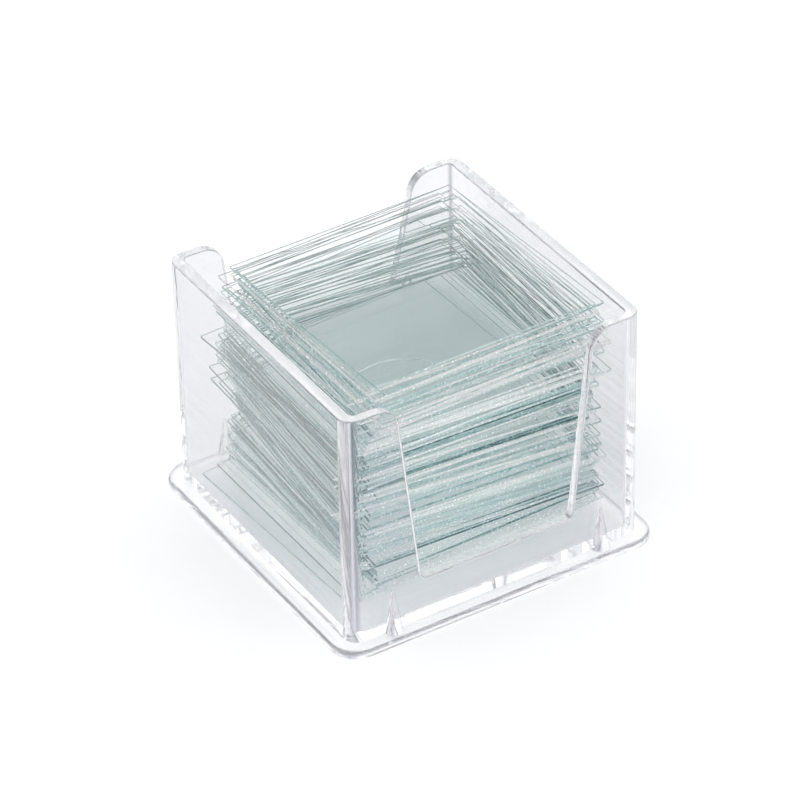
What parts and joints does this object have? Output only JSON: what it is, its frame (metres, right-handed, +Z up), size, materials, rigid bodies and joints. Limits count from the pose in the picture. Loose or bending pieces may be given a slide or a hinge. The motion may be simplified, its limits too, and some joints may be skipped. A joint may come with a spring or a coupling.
{
  "type": "cover glass tray",
  "caption": "Clear moulded tray with a flanged base and two open mouths, holding a loose stack of square cover glasses for counting chambers and slides; each glass lifts out upwards.",
  "frame": {"origin": "centre of the tray's underside, on the surface it stands on", "axes": "+Z up; +X towards one closed side wall; -Y and +Y out of the two open mouths"},
  "size_m": [0.0256, 0.0256, 0.0189],
  "materials": {
    "clear_plastic": "clear moulded polystyrene, polished",
    "cover_glass": "clear, aqua at the cut edges"
  },
  "bodies": {
    "tray": {"tray": "clear_plastic"},
    "glasses_001_to_010": {"cover_glasses_001_to_010": "cover_glass"},
    "glasses_011_to_020": {"cover_glasses_011_to_020": "cover_glass"},
    "glasses_021_to_030": {"cover_glasses_021_to_030": "cover_glass"},
    "glasses_031_to_040": {"cover_glasses_031_to_040": "cover_glass"},
    "glasses_041_to_050": {"cover_glasses_041_to_050": "cover_glass"},
    "glasses_051_to_060": {"cover_glasses_051_to_060": "cover_glass"},
    "glasses_061_to_070": {"cover_glasses_061_to_070": "cover_glass"},
    "glasses_071_to_080": {"cover_glasses_071_to_080": "cover_glass"},
    "glass_081": {"cover_glass_081": "cover_glass"},
    "glass_082": {"cover_glass_082": "cover_glass"},
    "glass_083": {"cover_glass_083": "cover_glass"},
    "glass_084": {"cover_glass_084": "cover_glass"},
    "glass_085": {"cover_glass_085": "cover_glass"},
    "glass_086": {"cover_glass_086": "cover_glass"},
    "glass_087": {"cover_glass_087": "cover_glass"},
    "glass_088": {"cover_glass_088": "cover_glass"},
    "glass_089": {"cover_glass_089": "cover_glass"},
    "glass_090": {"cover_glass_090": "cover_glass"},
    "glass_091": {"cover_glass_091": "cover_glass"},
    "glass_092": {"cover_glass_092": "cover_glass"},
    "glass_093": {"cover_glass_093": "cover_glass"},
    "glass_094": {"cover_glass_094": "cover_glass"},
    "glass_095": {"cover_glass_095": "cover_glass"},
    "glass_096": {"cover_glass_096": "cover_glass"},
    "glass_097": {"cover_glass_097": "cover_glass"},
    "glass_098": {"cover_glass_098": "cover_glass"},
    "glass_099": {"cover_glass_099": "cover_glass"},
    "glass_100": {"cover_glass_100": "cover_glass"}
  },
  "joints": [
    {"name": "lift_001_to_010", "type": "slide", "parent": "tray", "child": "glasses_001_to_010", "axis": [0, 0, 1], "range_m": [0, 0.0182]},
    {"name": "lift_011_to_020", "type": "slide", "parent": "glasses_001_to_010", "child": "glasses_011_to_020", "axis": [0, 0, 1], "range_m": [0, 0.0165]},
    {"name": "lift_021_to_030", "type": "slide", "parent": "glasses_011_to_020", "child": "glasses_021_to_030", "axis": [0, 0, 1], "range_m": [0, 0.0148]},
    {"name": "lift_031_to_040", "type": "slide", "parent": "glasses_021_to_030", "child": "glasses_031_to_040", "axis": [0, 0, 1], "range_m": [0, 0.0131]},
    {"name": "lift_041_to_050", "type": "slide", "parent": "glasses_031_to_040", "child": "glasses_041_to_050", "axis": [0, 0, 1], "range_m": [0, 0.0114]},
    {"name": "lift_051_to_060", "type": "slide", "parent": "glasses_041_to_050", "child": "glasses_051_to_060", "axis": [0, 0, 1], "range_m": [0, 0.0097]},
    {"name": "lift_061_to_070", "type": "slide", "parent": "glasses_051_to_060", "child": "glasses_061_to_070", "axis": [0, 0, 1], "range_m": [0, 0.008]},
    {"name": "lift_071_to_080", "type": "slide", "parent": "glasses_061_to_070", "child": "glasses_071_to_080", "axis": [0, 0, 1], "range_m": [0, 0.0063]},
    {"name": "lift_081", "type": "slide", "parent": "glasses_071_to_080", "child": "glass_081", "axis": [0, 0, 1], "range_m": [0, 0.0046]},
    {"name": "lift_082", "type": "slide", "parent": "glass_081", "child": "glass_082", "axis": [0, 0, 1], "range_m": [0, 0.0044]},
    {"name": "lift_083", "type": "slide", "parent": "glass_082", "child": "glass_083", "axis": [0, 0, 1], "range_m": [0, 0.0042]},
    {"name": "lift_084", "type": "slide", "parent": "glass_083", "child": "glass_084", "axis": [0, 0, 1], "range_m": [0, 0.0041]},
    {"name": "lift_085", "type": "slide", "parent": "glass_084", "child": "glass_085", "axis": [0, 0, 1], "range_m": [0, 0.0039]},
    {"name": "lift_086", "type": "slide", "parent": "glass_085", "child": "glass_086", "axis": [0, 0, 1], "range_m": [0, 0.0037]},
    {"name": "lift_087", "type": "slide", "parent": "glass_086", "child": "glass_087", "axis": [0, 0, 1], "range_m": [0, 0.0035]},
    {"name": "lift_088", "type": "slide", "parent": "glass_087", "child": "glass_088", "axis": [0, 0, 1], "range_m": [0, 0.0034]},
    {"name": "lift_089", "type": "slide", "parent": "glass_088", "child": "glass_089", "axis": [0, 0, 1], "range_m": [0, 0.0032]},
    {"name": "lift_090", "type": "slide", "parent": "glass_089", "child": "glass_090", "axis": [0, 0, 1], "range_m": [0, 0.003]},
    {"name": "lift_091", "type": "slide", "parent": "glass_090", "child": "glass_091", "axis": [0, 0, 1], "range_m": [0, 0.0029]},
    {"name": "lift_092", "type": "slide", "parent": "glass_091", "child": "glass_092", "axis": [0, 0, 1], "range_m": [0, 0.0027]},
    {"name": "lift_093", "type": "slide", "parent": "glass_092", "child": "glass_093", "axis": [0, 0, 1], "range_m": [0, 0.0025]},
    {"name": "lift_094", "type": "slide", "parent": "glass_093", "child": "glass_094", "axis": [0, 0, 1], "range_m": [0, 0.0023]},
    {"name": "lift_095", "type": "slide", "parent": "glass_094", "child": "glass_095", "axis": [0, 0, 1], "range_m": [0, 0.0022]},
    {"name": "lift_096", "type": "slide", "parent": "glass_095", "child": "glass_096", "axis": [0, 0, 1], "range_m": [0, 0.002]},
    {"name": "lift_097", "type": "slide", "parent": "glass_096", "child": "glass_097", "axis": [0, 0, 1], "range_m": [0, 0.0018]},
    {"name": "lift_098", "type": "slide", "parent": "glass_097", "child": "glass_098", "axis": [0, 0, 1], "range_m": [0, 0.0017]},
    {"name": "lift_099", "type": "slide", "parent": "glass_098", "child": "glass_099", "axis": [0, 0, 1], "range_m": [0, 0.0015]},
    {"name": "lift_100", "type": "slide", "parent": "glass_099", "child": "glass_100", "axis": [0, 0, 1], "range_m": [0, 0.0013]}
  ]
}
